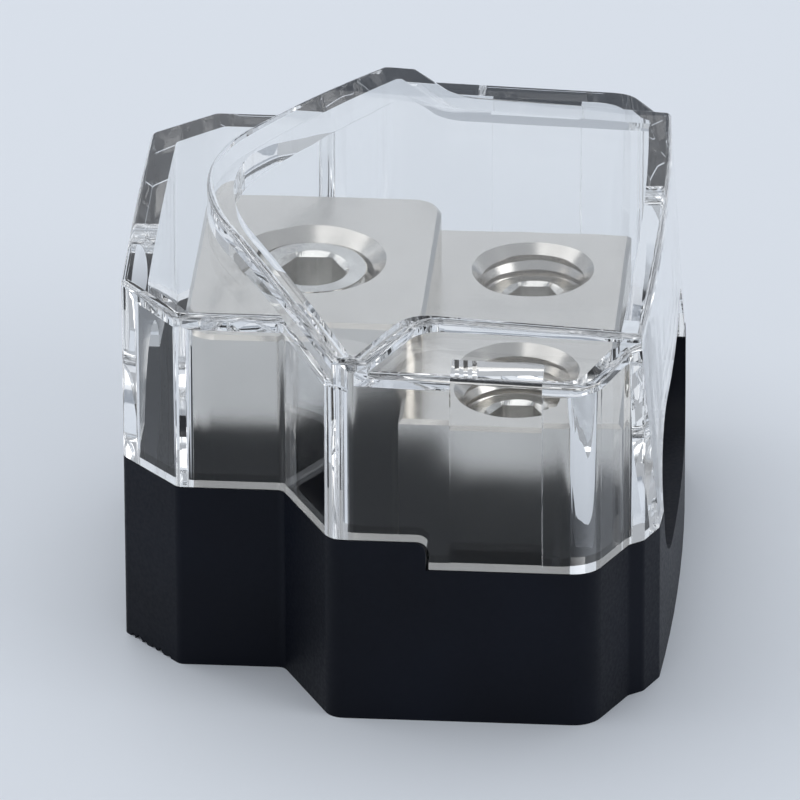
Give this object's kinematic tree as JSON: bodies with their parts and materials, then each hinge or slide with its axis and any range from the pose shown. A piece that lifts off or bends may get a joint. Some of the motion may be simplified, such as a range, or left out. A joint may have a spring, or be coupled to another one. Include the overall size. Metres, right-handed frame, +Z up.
{
  "type": "power distribution block",
  "caption": "Insulated power distribution block with a black base, a clear lift-off cover with a raised arrow, and a stepped metal terminal block with socket set screws.",
  "frame": {"origin": "on the underside, at the middle of the body", "axes": "+X from the input end to the output end, along the cables; +Z up, out of the cover; Y across, from one mounting hole to the other"},
  "size_m": [0.0532, 0.0642, 0.0423],
  "materials": {
    "base_plastic": "black moulded, satin",
    "clear_plastic": "clear moulded, polished",
    "nickel_plate": "satin nickel plate over brass",
    "screw_steel": "bright turned steel",
    "zinc_steel": "zinc plated"
  },
  "bodies": {
    "base": {"base": "base_plastic", "terminal_block": "nickel_plate", "block_screws": "zinc_steel"},
    "cover": {"cover": "clear_plastic"},
    "input_set_screw": {"input_set_screw": "screw_steel"},
    "output_set_screw_front": {"output_set_screw_front": "screw_steel"},
    "output_set_screw_back": {"output_set_screw_back": "screw_steel"}
  },
  "joints": [
    {"name": "cover_lift", "type": "slide", "parent": "base", "child": "cover", "axis": [0, 0, 1], "range_m": [0, 0.025]},
    {"name": "input_screw_travel", "type": "slide", "parent": "base", "child": "input_set_screw", "axis": [0, 0, 1], "range_m": [-0.006, 0.003]},
    {"name": "output_screw_front_travel", "type": "slide", "parent": "base", "child": "output_set_screw_front", "axis": [0, 0, 1], "range_m": [-0.003, 0.005]},
    {"name": "output_screw_back_travel", "type": "slide", "parent": "base", "child": "output_set_screw_back", "axis": [0, 0, 1], "range_m": [-0.003, 0.005]}
  ]
}
